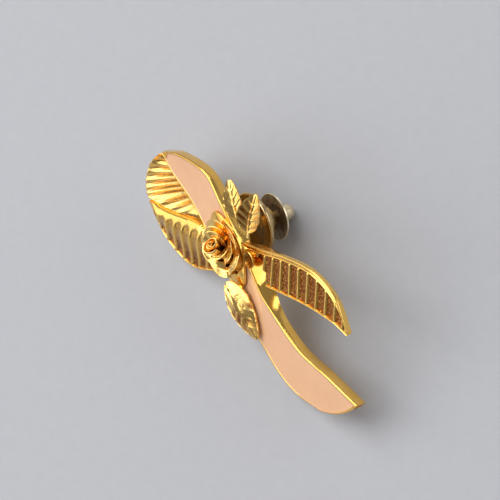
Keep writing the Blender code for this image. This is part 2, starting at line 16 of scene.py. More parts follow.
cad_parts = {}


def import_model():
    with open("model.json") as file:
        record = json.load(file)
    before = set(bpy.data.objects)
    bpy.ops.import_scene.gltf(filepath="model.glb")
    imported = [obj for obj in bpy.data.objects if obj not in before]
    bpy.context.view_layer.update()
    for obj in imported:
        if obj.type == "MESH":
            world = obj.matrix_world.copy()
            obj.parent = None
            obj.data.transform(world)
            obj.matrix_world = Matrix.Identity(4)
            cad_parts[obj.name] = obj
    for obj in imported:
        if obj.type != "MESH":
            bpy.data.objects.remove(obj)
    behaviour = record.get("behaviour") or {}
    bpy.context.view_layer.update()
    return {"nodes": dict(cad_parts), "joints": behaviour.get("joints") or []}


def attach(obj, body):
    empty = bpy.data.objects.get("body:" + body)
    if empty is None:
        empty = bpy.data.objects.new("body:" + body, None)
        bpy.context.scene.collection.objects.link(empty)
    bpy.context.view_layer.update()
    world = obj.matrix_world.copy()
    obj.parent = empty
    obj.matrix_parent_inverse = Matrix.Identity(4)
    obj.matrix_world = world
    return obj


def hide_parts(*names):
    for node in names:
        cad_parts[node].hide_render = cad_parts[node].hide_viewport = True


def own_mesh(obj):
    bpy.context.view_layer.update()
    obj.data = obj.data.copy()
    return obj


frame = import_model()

MM = 0.001

# ---- ribbon outlines, shared with the solid model ----
FRONT_LEFT = [(-9.1, -21.8), (-10.6, -17.3), (-10.5, -13.3), (-8.6, -8.4), (-5.3, -2.4),
              (-2.2, 3.7), (-0.9, 7.6), (-0.1, 11.8), (0.9, 14.3)]
FRONT_RIGHT = [(-2.9, -27.4), (-3.6, -21.6), (-4.4, -15.8), (-2.8, -9.3), (0.4, -4.1),
               (3.7, 1.9), (5.0, 5.9), (3.4, 11.2), (1.5, 14.1)]
BACK_LEFT = [(-7.1, 14.8), (-9.9, 11.2), (-9.8, 5.4), (-6.4, 0.2), (-2.9, -5.2),
             (0.5, -11.9), (2.6, -16.6), (3.9, -20.6), (4.3, -23.2)]
BACK_RIGHT = [(-6.4, 14.4), (-5.2, 10.8), (-2.6, 5.8), (0.0, -0.6), (2.2, -5.1),
              (5.6, -10.8), (7.6, -15.7), (7.3, -20.0), (4.8, -23.1)]
ARCH = [(0.8, 14.6), (-1.6, 15.9), (-4.2, 16.3), (-5.9, 15.9), (-6.75, 15.2)]

BAND_THICK = 1.4
CROSSING = (13.0, 34.0)    # the enamelled band stands higher between these distances
CROSSING_RAMP = 5.0
CROSSING_RISE = 0.2
SLOT_HIGH = 0.8            # underside of the enamelled band where the other passes below it
END_BOW = 0.7
RIM_WIDE = 0.33
RIM_SHARE = 0.32           # most of the strip's width that one rim may take
RIM_ROUND = 0.15
POOL_DEEP = 0.35
POOL_GAP = 0.012           # between the enamel and the metal round it
ENAMEL_BELOW_RIM = 0.07
SIDE_DRAFT = 0.25
FLARE_WIDE = 2.8
FLARE_AT = 19.6
FLARE_SPREAD = 3.0
FLARE_SHOWN = 0.8          # this much of the flare stands clear of the ribbed band
TAIL_POOL = (0.33, 21.5)
LOOP_POOL_START = 27.5
LOOP_POOL_MARGIN = 0.9

RIBBED_THICK = 1.25
RIBBED_DRAFT = 0.12
LEG_LIP = [(0.0, 0.15), (0.03, 0.06), (0.08, 0.02), (0.14, 0.0), (0.2, 0.0), (0.24, 0.0),
           (0.28, 0.0), (0.33, 0.0)]               # (inset, drop) from the left edge
TAIL_LEFT_RIM = [(0.0, 0.1), (0.03, 0.03), (0.07, 0.0), (0.12, 0.0), (0.16, 0.03), (0.19, 0.1)]
TAIL_RIGHT_RIM = [(0.74, 0.16), (0.70, 0.06), (0.64, 0.02), (0.58, 0.02), (0.54, 0.06),
                  (0.50, 0.14), (0.42, 0.16), (0.34, 0.14), (0.30, 0.05), (0.26, 0.0), (0.2, 0.0),
                  (0.13, 0.0), (0.08, 0.02), (0.03, 0.08), (0.0, 0.16)]
TAIL_GROOVE = 6            # place in TAIL_RIGHT_RIM of the groove between its two ridges
TAIL_FULL_RIMS = 3.2       # the rims narrow where the tail is narrower than this
RIB_PITCH = 1.75
LEG_CROWN = 0.6
LEG_TIP_RISE = 0.35
LEG_PANEL_DEEP = 0.24
LEG_END = 18.2
TAIL_START = 18.8
TAIL_RIB_HALF = 0.21
TAIL_FLOOR_DROP = 0.3
TAIL_RISE = 0.55
TOP_COLUMNS = 44

FOLD_ALONG_FRONT = 10.1
FOLD_ALONG_BACK = 9.1
FOLD_ON_ARCH = 0.62        # share of the fold that ends on the arch, before it meets the leg
FOLD_FLOOR = 0.4
ARCH_HIGH = 1.75
ARCH_CLIMB = 0.15
FOLD_END_HIGH = 0.9
PLEATS = 7
PLEAT_HIGH = 0.26

PLATE_AT = (-1.1, -1.4)
PLATE_HALF = (4.5, 2.9)
PLATE_TURN = math.radians(53)
PLATE_SEAT = 1.63
PLATE_THICK = 0.25
ROSE = (-1.0, -1.9)
ROSE_LEAN = (0.75, 0.1)    # sideways shift per mm of height
ROSE_DROP = (0.1, -0.08)   # share of height lost per mm out from the middle
LOW_SIDE = math.radians(-39)
PETAL_SEAT = 1.91
PETAL_THICK = 0.2
LEAF_THICK = 0.26
STALK_HALF = 0.2
DEEP_CUP = 0.4             # a leaf cupped more than this keeps full painted shade in its left half
BUD = (0.8, -5.45)
BUD_R = 1.1
BUD_TALL = 0.75
BUD_SEAT = 1.28

POST = (-0.5, 0.4)
CLUTCH_AT = 2.65
DISC_R = 3.9
BARREL_R = 1.8
BARREL_BORE = 1.5
BARREL_END = 2.26
CAP_FLANGE_AT = 3.1
CAP_FLANGE_R = 2.9
DOME_R = 1.05
DOME_CENTRE = 4.85
SPRING_WIRE = 0.055
SPRING_R = 1.1
SPRING_TURNS = 2.5
SPRING_FRONT = 1.535
SPRING_BACK = 2.065

# ---- camera: how the reference view sees the badge frame ----
VIEW_RIGHT = (0.134, -0.550, -0.824)
VIEW_UP = (0.721, 0.625, -0.300)
VIEW_BACK = (0.680, -0.554, 0.480)
VIEW_AIM = (0.0, 0.0, 1.4)         # badge point the framing is counted from
VIEW_OFFSET = (2.845, -1.856)      # the picture's middle, right and up of that point
VIEW_DISTANCE = 282.0
VIEW_WIDE = 58.25                  # width seen at that distance
SENSOR = 36.0


# ---------------------------------------------------------------- frame
def joint(name):
    return next(found for found in frame["joints"] if found["name"] == name)


def badge_matrix():
    """The clutch slides along the post, and ball 1 rolls out towards the loop."""
    front = -Vector(joint("clutch_slide")["axis"])
    up = Vector(joint("ball_1_out")["axis"])
    turn = Matrix((up.cross(front), up, front)).transposed()
    on_post = Vector(joint("clutch_spin")["pos_m"])
    local = Vector((*POST, -CLUTCH_AT)) * MM
    return Matrix.Translation(on_post - turn @ local) @ turn.to_4x4()


BADGE = badge_matrix()


def world(point):
    return BADGE @ (Vector(point) * MM)


# ---------------------------------------------------------------- curves and bands
def smooth_curve(points, samples=24):
    """Dense Catmull-Rom polyline through the points."""
    pts = np.array(points, float)
    ends = np.vstack([2 * pts[0] - pts[1], pts, 2 * pts[-1] - pts[-2]])
    out = []
    for a, b, c, d in zip(ends, ends[1:], ends[2:], ends[3:]):
        for t in np.linspace(0.0, 1.0, samples, endpoint=False):
            out.append(0.5 * (2 * b + (c - a) * t + (2 * a - 5 * b + 4 * c - d) * t ** 2
                              + (3 * b - a - 3 * c + d) * t ** 3))
    out.append(pts[-1])
    return np.array(out)


def ease(x):
    """0 below 0, 1 above 1 and a smooth step between."""
    x = np.clip(x, 0.0, 1.0)
    return x * x * (3 - 2 * x)


class Band:
    """A ribbon strip, addressed by distance along its centre line."""

    def __init__(self, left, right):
        self.left = smooth_curve(left)
        self.right = smooth_curve(right)
        centre = (self.left + self.right) / 2
        steps = np.linalg.norm(np.diff(centre, axis=0), axis=1)
        self.along = np.concatenate([[0.0], np.cumsum(steps)])
        self.length = float(self.along[-1])

    def edges(self, at):
        left = np.array([np.interp(at, self.along, self.left[:, k]) for k in (0, 1)])
        right = np.array([np.interp(at, self.along, self.right[:, k]) for k in (0, 1)])
        return left, right

    def width(self, at):
        left, right = self.edges(at)
        return float(np.linalg.norm(right - left))

    def spots(self, at, insets, bow=0.0):
        """Badge (u, v) of points inset from the left edge, pushed 'bow' back along the strip."""
        left, right = self.edges(at)
        across = (right - left) / np.linalg.norm(right - left)
        back = np.array([across[1], -across[0]])
        bow = np.broadcast_to(bow, np.shape(insets))
        return left + np.outer(insets, across) + np.outer(bow, back)

    def depth_inside(self, points, widen=None):
        """How far each (u, v) point lies inside the strip, which widen(at) widens on its right.

        Each point is measured at the station whose crossing line runs nearest to it.
        """
        stations = np.linspace(0.0, self.length, 220)
        ends = np.array([self.edges(at) for at in stations])
        left = ends[:, 0]
        right = ends[:, 1]
        width = np.linalg.norm(right - left, axis=1)
        across = (right - left) / width[:, None]
        gap = points[:, None, :] - left[None]
        inset = (gap * across).sum(-1)
        off = gap[..., 0] * across[None, :, 1] - gap[..., 1] * across[None, :, 0]
        stray = ((points[:, None, :] - (left + right)[None] / 2) ** 2).sum(-1)
        best = np.argmin(off ** 2 + 0.02 * stray, axis=1)
        rows = np.arange(len(points))
        reach = width[best]
        if widen is not None:
            reach = reach + np.array([widen(stations[k]) for k in best])
        return np.minimum(inset[rows, best], reach - inset[rows, best])


FRONT = Band(FRONT_LEFT, FRONT_RIGHT)
BACK = Band(BACK_LEFT, BACK_RIGHT)
LOOP_POOL = (LOOP_POOL_START, FRONT.length - LOOP_POOL_MARGIN)


# ---------------------------------------------------------------- meshes
def make_piece(name, verts, faces, look, body, stands_for=(), painted_shade=None, sharp=50):
    """Mesh piece from badge-frame millimetres; edges over 'sharp' degrees stay crisp."""
    mesh = bpy.data.meshes.new(name)
    placed = np.array(verts) * MM @ np.array(BADGE.to_3x3()).T + np.array(BADGE.translation)
    mesh.from_pydata(placed.tolist(), [], faces)
    face_outwards(mesh)
    mesh.shade_smooth()
    mesh.set_sharp_from_angle(angle=math.radians(sharp))
    # Per-point painted shade, from 0 (bright) to 1 (dark), read by the metal materials.
    shade = mesh.attributes.new("painted_shade", "FLOAT", "POINT")
    if painted_shade is not None:
        shade.data.foreach_set("value", np.asarray(painted_shade, np.float32).ravel())
    mesh.materials.append(look)
    obj = bpy.data.objects.new(name, mesh)
    bpy.context.scene.collection.objects.link(obj)
    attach(obj, body)
    if stands_for:
        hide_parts(*stands_for)
    return obj


def face_outwards(mesh):
    bm = bmesh.new()
    bm.from_mesh(mesh)
    bmesh.ops.recalc_face_normals(bm, faces=bm.faces)
    bm.to_mesh(mesh)
    bm.free()


def tube_faces(rows, cols):
    """Quads of rings joined in a row, each ring closed on itself, with the two ends capped."""
    faces = []
    for i in range(rows - 1):
        for j in range(cols):
            k = (j + 1) % cols
            faces.append((i * cols + j, i * cols + k, (i + 1) * cols + k, (i + 1) * cols + j))
    faces.append(tuple(range(cols - 1, -1, -1)))
    faces.append(tuple(range((rows - 1) * cols, rows * cols)))
    return faces


def sheet_faces(rows, cols):
    """Faces of a closed slab: top grid first, then the bottom grid, with a wall round them."""
    base = rows * cols
    faces = []
    for i in range(rows - 1):
        for j in range(cols - 1):
            a = i * cols + j
            faces.append((a, a + 1, a + cols + 1, a + cols))
            faces.append((base + a, base + a + cols, base + a + cols + 1, base + a + 1))
    for i in range(rows - 1):
        for j, flip in ((0, False), (cols - 1, True)):
            a = i * cols + j
            wall = (a, a + cols, base + a + cols, base + a)
            faces.append(wall[::-1] if flip else wall)
    for j in range(cols - 1):
        for i, flip in ((0, True), (rows - 1, False)):
            a = i * cols + j
            wall = (a, a + 1, base + a + 1, base + a)
            faces.append(wall[::-1] if flip else wall)
    return faces


def slab_piece(name, top, bottom, look, body, stands_for=(), painted_shade=None, sharp=50):
    """Closed piece between a top grid and a bottom grid; only the top gets painted shade."""
    top = np.array(top)
    bottom = np.array(bottom)
    rows, cols = top.shape[:2]
    verts = np.vstack([top.reshape(-1, 3), bottom.reshape(-1, 3)])
    shade = None
    if painted_shade is not None:
        shade = np.concatenate([np.ravel(painted_shade), np.zeros(rows * cols)])
    return make_piece(name, verts, sheet_faces(rows, cols), look, body, stands_for,
                      shade, sharp)


def lathe_piece(name, profile, look, body, stands_for, steps=96, sharp=35, at=None,
                painted_shade=None):
    """Spin a closed (radius, n) outline about the post's axis, or about the (u, v) point 'at'."""
    centre = POST if at is None else at
    count = len(profile)
    verts = []
    for k in range(steps):
        a = 2 * math.pi * k / steps
        verts += [(centre[0] + r * math.cos(a), centre[1] + r * math.sin(a), n)
                  for r, n in profile]
    faces = []
    for k in range(steps):
        nxt = (k + 1) % steps
        for j in range(count):
            m = (j + 1) % count
            on_axis = profile[j][0] == 0 and profile[m][0] == 0
            if not on_axis:
                faces.append((k * count + j, nxt * count + j, nxt * count + m, k * count + m))
    shade = None if painted_shade is None else np.tile(painted_shade, steps)
    obj = make_piece(name, verts, faces, look, body, stands_for, shade, sharp)
    weld(obj, sharp)
    return obj


def weld(obj, sharp):
    """Join the points that meet on a lathe's axis."""
    bm = bmesh.new()
    bm.from_mesh(obj.data)
    bmesh.ops.remove_doubles(bm, verts=bm.verts, dist=1e-7)
    bmesh.ops.recalc_face_normals(bm, faces=bm.faces)
    bm.to_mesh(obj.data)
    bm.free()
    obj.data.shade_smooth()
    obj.data.set_sharp_from_angle(angle=math.radians(sharp))


# ---------------------------------------------------------------- materials
class Nodes:
    """Short way to wire a material's nodes."""

    def __init__(self, name):
        self.material = bpy.data.materials.new(name)
        self.material.use_nodes = True
        self.tree = self.material.node_tree
        self.shader = self.tree.nodes["Principled BSDF"]
        self.coord = self.tree.nodes.new("ShaderNodeTexCoord")

    def add(self, kind, **values):
        node = self.tree.nodes.new(kind)
        for key, value in values.items():
            if hasattr(node, key):
                setattr(node, key, value)
            else:
                node.inputs[key].default_value = value
        return node

    def link(self, source, target):
        self.tree.links.new(source, target)

    def noise(self, scale, detail=3.0, rough=0.55):
        """Noise with that many cycles per metre."""
        tex = self.add("ShaderNodeTexNoise", Scale=scale, Detail=detail, Roughness=rough)
        self.link(self.coord.outputs["Object"], tex.inputs["Vector"])
        return tex.outputs["Fac"]

    def remap(self, value, low, high, start=0.3, end=0.7):
        """Low to high as the value goes from start to end."""
        node = self.add("ShaderNodeMapRange")
        node.inputs["From Min"].default_value = start
        node.inputs["From Max"].default_value = end
        node.inputs["To Min"].default_value = low
        node.inputs["To Max"].default_value = high
        self.link(value, node.inputs["Value"])
        return node.outputs["Result"]

    def mix(self, factor, a, b):
        node = self.add("ShaderNodeMix", data_type="RGBA")
        self.link(factor, node.inputs["Factor"])
        colours = [socket for socket in node.inputs if socket.type == "RGBA"]
        for socket, value in zip(colours, (a, b)):
            if isinstance(value, tuple):
                socket.default_value = (*value, 1.0)
            else:
                self.link(value, socket)
        return next(socket for socket in node.outputs if socket.type == "RGBA")

    def maths(self, operation, a, b):
        node = self.add("ShaderNodeMath", operation=operation)
        for socket, value in zip(node.inputs, (a, b)):
            if isinstance(value, (int, float)):
                socket.default_value = value
            else:
                self.link(value, socket)
        return node.outputs[0]

    def attribute(self, name):
        node = self.add("ShaderNodeAttribute", attribute_name=name)
        return node.outputs["Fac"]

    def bump(self, heights):
        """Chain of bumps: (height, depth in metres)."""
        normal = None
        for height, depth in heights:
            node = self.add("ShaderNodeBump")
            node.inputs["Strength"].default_value = 1.0
            node.inputs["Distance"].default_value = depth
            self.link(height, node.inputs["Height"])
            if normal is not None:
                self.link(normal, node.inputs["Normal"])
            normal = node.outputs["Normal"]
        self.link(normal, self.shader.inputs["Normal"])


def metal(name, colour, deep, rough, grain, relief):
    """Plated cast metal: its colour drifts, painted shade turns it deep, and its skin is uneven."""
    nodes = Nodes(name)
    drift = nodes.remap(nodes.noise(420.0), 0.0, 1.0)
    warm = tuple(c * s for c, s in zip(colour, (0.96, 0.88, 0.72)))
    skin = nodes.mix(drift, colour, warm)
    mottled = nodes.remap(nodes.noise(1500.0, 4.0), 0.75, 1.2)
    # Painted shade, mottled at random, pulls the colour towards the deep shade colour and makes the
    # surface duller.
    shade_level = nodes.maths("MULTIPLY", nodes.attribute("painted_shade"), mottled)
    nodes.link(nodes.mix(shade_level, skin, deep), nodes.shader.inputs["Base Color"])
    nodes.shader.inputs["Metallic"].default_value = 1.0
    polish = nodes.remap(nodes.noise(900.0, 5.0), rough * 0.7, rough * 1.35)
    dull = nodes.maths("MULTIPLY", shade_level, 0.25)
    nodes.link(nodes.maths("ADD", polish, dull), nodes.shader.inputs["Roughness"])
    nodes.bump([(nodes.noise(700.0, 2.0), relief), (nodes.noise(grain, 4.0), relief * 0.16)])
    return nodes.material


def stippled(name, colour, deep, rough):
    """Plated metal darkened by painted shade, except on fine raised grains, which keep the plain gold
    colour.
    """
    nodes = Nodes(name)
    grains = nodes.noise(6500.0, 2.0, 0.6)
    # The painted shade is taken off the high points of the grain noise, which stay the plain gold.
    shade_between_grains = nodes.remap(grains, 1.0, 0.0, 0.52, 0.72)
    shade_level = nodes.maths("MULTIPLY", nodes.attribute("painted_shade"), shade_between_grains)
    nodes.link(nodes.mix(shade_level, colour, deep), nodes.shader.inputs["Base Color"])
    nodes.shader.inputs["Metallic"].default_value = 1.0
    nodes.link(nodes.remap(nodes.noise(900.0), rough * 0.7, rough * 1.5),
               nodes.shader.inputs["Roughness"])
    height = nodes.maths("MULTIPLY", nodes.attribute("painted_shade"), grains)
    nodes.bump([(nodes.noise(700.0, 2.0), 2.5e-5), (height, 6e-5)])
    return nodes.material


def enamel_look(name, colour, shade):
    """Poured enamel: glossy, with a faint cloudiness and a surface that is not quite flat."""
    nodes = Nodes(name)
    cloud = nodes.remap(nodes.noise(260.0), 0.0, 1.0)
    nodes.link(nodes.mix(cloud, colour, shade), nodes.shader.inputs["Base Color"])
    nodes.link(nodes.remap(nodes.noise(1200.0), 0.16, 0.26), nodes.shader.inputs["Roughness"])
    nodes.shader.inputs["IOR"].default_value = 1.5
    nodes.shader.inputs["Coat Weight"].default_value = 0.35
    nodes.shader.inputs["Coat Roughness"].default_value = 0.08
    nodes.bump([(nodes.noise(330.0, 2.0), 3e-5), (nodes.noise(6000.0), 1e-6)])
    return nodes.material


def paper(name):
    """Pale grey table surface with a faint fibre."""
    nodes = Nodes(name)
    fibre = nodes.remap(nodes.noise(700.0, 5.0), 0.0, 1.0)
    nodes.link(nodes.mix(fibre, (0.445, 0.45, 0.472), (0.46, 0.465, 0.487)),
               nodes.shader.inputs["Base Color"])
    nodes.shader.inputs["Roughness"].default_value = 0.75
    nodes.shader.inputs["Specular IOR Level"].default_value = 0.2
    nodes.bump([(nodes.noise(1800.0, 4.0), 1e-5)])
    return nodes.material


GOLD = metal("gold_plate_polished", (1.0, 0.61, 0.145), (0.24, 0.06, 0.004), 0.15, 9000.0, 3e-5)
GOLD_FACETED = metal("gold_plate_cast", (1.0, 0.67, 0.22), (0.2, 0.05, 0.004), 0.17,
                     7000.0, 8e-5)
GOLD_STIPPLED = stippled("gold_plate_stippled", (1.0, 0.62, 0.15), (0.24, 0.05, 0.001), 0.2)
BRONZE = metal("clutch_wash", (0.66, 0.50, 0.27), (0.12, 0.075, 0.035), 0.22, 8000.0, 2e-5)
# Lighter copy of the clutch metal for the pull cap: the extra brightness is painted light on the
# dome.
BRONZE_PAINTED_LIT = metal("clutch_cap_painted_lit", (0.95, 0.84, 0.62), (0.1, 0.05, 0.02), 0.3, 8000.0, 2e-5)
STEEL = metal("spring_steel", (0.62, 0.62, 0.62), (0.2, 0.19, 0.18), 0.2, 9000.0, 5e-6)
PINK = enamel_look("pink_enamel", (0.80, 0.445, 0.235), (0.76, 0.415, 0.215))


# ---------------------------------------------------------------- enamelled band
def front_height(at):
    """Height of the enamelled band's rim, which climbs a little over the crossing."""
    start, end = CROSSING
    up = ease((at - start) / CROSSING_RAMP)
    down = ease((at - end + CROSSING_RAMP) / CROSSING_RAMP)
    return BAND_THICK + CROSSING_RISE * (up - down)


def end_round(at, soft):
    """How much the rim drops as it rolls over the tail's end."""
    if at >= soft:
        return 0.0
    return soft * (1 - math.sqrt(1 - (1 - at / soft) ** 2))


def end_bow(at, share):
    """How far the tail's rounded end bows back at that share of the width."""
    share = np.clip(share, 0.0, 1.0)
    return END_BOW * 4 * share * (1 - share) * (1 - ease(at / 8.0))


def pool_step(at, ramp=0.05):
    """1 over an enamel pool, 0 over solid metal."""
    inside = 0.0
    for start, end in (TAIL_POOL, LOOP_POOL):
        inside += float(ease((at - start) / ramp) * ease((end - at) / ramp))
    return inside


def flare(at):
    """How far the right wall's foot spreads where the two bands part."""
    return FLARE_WIDE * math.exp(-((at - FLARE_AT) / FLARE_SPREAD) ** 2)


def front_stations():
    """Distances along the enamelled band, close together where a wall or edge runs across."""
    fine = []
    for edge in (*TAIL_POOL, *LOOP_POOL):
        fine += list(edge + np.linspace(-0.1, 0.1, 7))
    start = [0.0, 0.01, 0.03, 0.06, 0.1, 0.15, 0.2]
    even = list(np.linspace(0.3, FRONT.length, 190))
    return sorted(set(round(at, 4) for at in start + fine + even))


def rim_side(rim, soft, high, deep):
    """Left wall, rounded rim and drop to the floor, as (inset, height, painted shade)."""
    lip = min(0.05, rim * 0.3)
    points = []
    for t in np.linspace(0.0, 1.0, 7, endpoint=False):
        points.append((SIDE_DRAFT * (1 - t) ** 1.6, t * (high - soft), 0.0))
    for a in np.radians(np.linspace(180, 90, 6)):
        points.append((soft + soft * math.cos(a), high - soft + soft * math.sin(a), 0.0))
    for a in np.radians(np.linspace(90, 0, 4)):
        points.append((rim - lip + lip * math.cos(a), high - lip + lip * math.sin(a), 0.0))
    # The rim's inner edge gets full painted shade.
    points.append((rim, high - max(deep, lip), 1.0))
    return points


def band_section(at):
    """Closed section of the enamelled band, and the height where its walls meet the rim."""
    width = FRONT.width(at)
    soft = min(RIM_ROUND, width * 0.25)
    rim = min(RIM_WIDE, width * RIM_SHARE)
    high = front_height(at) - end_round(at, soft)
    deep = POOL_DEEP * pool_step(at)
    left = rim_side(rim, soft, high, deep)
    # The sunk floor of a pool gets full painted shade.
    shade_level = 1.0 if deep > 0.1 else 0.0
    floor = [(x, high - deep, shade_level) for x in np.linspace(rim + 0.02, width - rim - 0.02, 9)]
    right = []
    for x, z, dark in reversed(left):
        drop = 1 - min(1.0, max(0.0, z / (high - soft)))
        push = flare(at) * drop if x < SIDE_DRAFT * 1.01 else 0.0
        right.append((width - x + push, z, dark))
    base = [(x, 0.0, 0.0) for x in np.linspace(right[-1][0], left[0][0], 12)[1:-1]]
    return left + floor + right + base, high - soft


def enamelled_band():
    """Walled strip with two sunk pools, raised where the ribbed band passes under it."""
    rings = []
    shades = []
    for at in front_stations():
        section, top = band_section(at)
        insets, heights, dark = np.array(section).T
        spots = FRONT.spots(at, insets, end_bow(at, insets / FRONT.width(at)))
        slot = SLOT_HIGH * ease(BACK.depth_inside(spots) / 0.15)
        lifted = np.where(heights < top, slot + heights * (top - slot) / top, heights)
        rings.append(np.column_stack([spots, lifted]))
        shades.append(dark)
    rings = np.array(rings)
    rows, cols = rings.shape[:2]
    return make_piece("enamelled_band_fine", rings.reshape(-1, 3), tube_faces(rows, cols), GOLD,
                      "badge", ["ribbon_enamelled_band"], shades, sharp=60)


def enamel_pool(name, span, node):
    """Enamel with a raised meniscus along the rim."""
    top = []
    bottom = []
    creep = np.array([0.0, 0.03, 0.07, 0.13, 0.22])
    starts = span[0] + POOL_GAP + creep
    ends = span[1] - POOL_GAP - creep[::-1]
    stations = list(starts) + list(np.linspace(starts[-1], ends[0], 120)[1:-1]) + list(ends)
    for at in stations:
        width = FRONT.width(at)
        low = min(RIM_WIDE, width * RIM_SHARE) + POOL_GAP
        side = low + creep * min(1.0, width / 2)
        middle = np.linspace(side[-1], width - side[-1], 13)[1:-1]
        insets = np.concatenate([side, middle, width - side[::-1]])
        from_rim = np.minimum(np.minimum(insets - low, width - low - insets),
                              min(at - span[0], span[1] - at))
        climb = 0.045 * np.exp(-np.maximum(from_rim, 0.0) / 0.07)
        share = (insets - low) / (width - 2 * low)
        dish = 0.05 * 4 * share * (1 - share)
        height = front_height(at) - ENAMEL_BELOW_RIM + climb - dish
        floor = np.full(len(insets), front_height(at) - POOL_DEEP * 0.97)
        spots = FRONT.spots(at, insets, end_bow(at, insets / width))
        top.append(np.column_stack([spots, height]))
        bottom.append(np.column_stack([spots, floor]))
    return slab_piece(name, top, bottom, PINK, "badge", [node])


# ---------------------------------------------------------------- ribbed band
def ribbed_base(at):
    """Heights of the left edge, right edge and back of the ribbed band."""
    leg = 1 - ease((at - 12.0) / 6.0)
    near_tip = 1 - ease(at / 3.0)
    left = RIBBED_THICK + 0.25 * leg + LEG_TIP_RISE * near_tip
    right = RIBBED_THICK + 0.85 * leg - 0.3 * leg * near_tip + LEG_TIP_RISE * near_tip
    back = TAIL_RISE * ease((at - 22.0) / 6.0)
    return left, right, back


def leg_top(at, width):
    """Humped leg: sunk panels with round tops between raised ridges, and a plain lip each side."""
    left, right, _ = ribbed_base(at)
    fade = ease(at / 2.5)
    lip, lip_drop = np.array(LEG_LIP).T
    share = np.concatenate([lip / width,
                            np.linspace(0.38 / width, 1.0, TOP_COLUMNS - len(lip))])
    inset = share * width
    height = left + (right - left) * share + LEG_CROWN * np.sin(math.pi * share ** 1.8) * fade
    step = abs((at / RIB_PITCH) % 1.0 - 0.5)
    panel = 1 - np.exp(-(step / (0.13 + 0.1 * share ** 2)) ** 4)
    round_top = ease((width - inset - 0.55 - 0.6 * (0.5 - step) ** 0.5) / 0.3)
    sunk = panel * ease((inset - 0.24) / 0.14) * round_top * fade
    height -= LEG_PANEL_DEEP * sunk
    height[:len(lip)] -= lip_drop
    # Painted shade in the sunk panels, stronger towards the leg's left edge.
    dark = sunk * (0.5 + 0.5 * ease((0.6 - share) / 0.4))
    return inset, height, dark


def tail_top(at, width):
    """Ribbed tail: thin left rim, sunk floor crossed by ribs, and a double rim at the right."""
    left, right, _ = ribbed_base(at)
    squeeze = min(1.0, width / TAIL_FULL_RIMS)
    left_rim, left_drop = np.array(TAIL_LEFT_RIM).T * squeeze
    right_rim, right_drop = np.array(TAIL_RIGHT_RIM).T * squeeze
    columns = TOP_COLUMNS - len(left_rim) - len(right_rim)
    floor = np.linspace(left_rim[-1] + 0.05, width - right_rim[0] - 0.05, columns)
    inset = np.concatenate([left_rim, floor, width - right_rim])
    step = ((at - TAIL_START) / RIB_PITCH + 0.5) % 1.0 - 0.5
    rib = math.exp(-(abs(step) * RIB_PITCH / TAIL_RIB_HALF) ** 4)
    closing = ease((at - BACK.length + 1.3) / 0.8)
    rib = max(rib, closing)
    sunk = np.full(columns, TAIL_FLOOR_DROP * (1 - 0.85 * rib))
    drop = np.concatenate([left_drop, sunk, right_drop])
    height = left + (right - left) * inset / width - drop
    # Painted shade on the sunk floor between the ribs and in the groove between the right rim's
    # ridges.
    dark = np.concatenate([np.zeros(len(left_rim)), np.full(columns, 1 - 0.95 * rib),
                           np.zeros(len(right_rim))])
    dark[len(left_rim) + columns + TAIL_GROOVE] = 0.8
    return inset, height, dark


def ribbed_stations():
    """Distances along the ribbed band, closest on the tail, where the ribs are sharp."""
    leg = list(np.arange(0.0, LEG_END, 0.09))
    tail = list(np.arange(LEG_END + 0.02, BACK.length - 0.01, 0.055))
    return leg + tail + [BACK.length - 0.005]


def under_front(spots, height):
    """Sink the surface into the slot wherever the enamelled band and its flare lie above it."""
    inside = FRONT.depth_inside(spots, lambda at: FLARE_SHOWN * flare(at))
    return height + (np.minimum(height, SLOT_HIGH - 0.05) - height) * ease((inside - 0.02) / 0.1)


def ribbed_band():
    """Humped leg and ribbed tail in one strip, which dips under the enamelled band."""
    rings = []
    shades = []
    wall = np.array([0.75, 0.5, 0.25])
    base_columns = 14
    for at in ribbed_stations():
        width = BACK.width(at)
        shape = leg_top if at <= LEG_END else tail_top
        inset, height, dark = shape(at, width)
        back = ribbed_base(at)[2]
        spots = BACK.spots(at, inset)
        height = under_front(spots, height)
        left_wall = BACK.spots(at, RIBBED_DRAFT * (1 - wall[::-1]))
        right_wall = BACK.spots(at, width - RIBBED_DRAFT * (1 - wall))
        left_high = back + (height[0] - back) * wall[::-1]
        right_high = back + (height[-1] - back) * wall
        base = BACK.spots(at, np.linspace(width - 0.15, 0.15, base_columns))
        rings.append(np.vstack([np.column_stack([left_wall, left_high]),
                                np.column_stack([spots, height]),
                                np.column_stack([right_wall, right_high]),
                                np.column_stack([base, np.full(base_columns, back)])]))
        plain = np.zeros(len(wall))
        shades.append(np.concatenate([plain, dark, plain, np.zeros(base_columns)]))
    rings = np.array(rings)
    rows, cols = rings.shape[:2]
    return make_piece("ribbed_band_fine", rings.reshape(-1, 3), tube_faces(rows, cols),
                      GOLD_STIPPLED, "badge", ["ribbon_ribbed_band"], shades, sharp=70)


# ---------------------------------------------------------------- inside of the loop
def fold_end(t, arch):
    """Where the fold's far edge lies: along the arch first, then down the leg's right edge."""
    if t <= FOLD_ON_ARCH:
        place = t / FOLD_ON_ARCH * (len(arch) - 1)
        low = min(int(place), len(arch) - 2)
        return arch[low] + (arch[low + 1] - arch[low]) * (place - low)
    down = 0.3 + (t - FOLD_ON_ARCH) / (1 - FOLD_ON_ARCH) * FOLD_ALONG_BACK
    return BACK.spots(down, np.array([BACK.width(down) - 0.02]))[0]


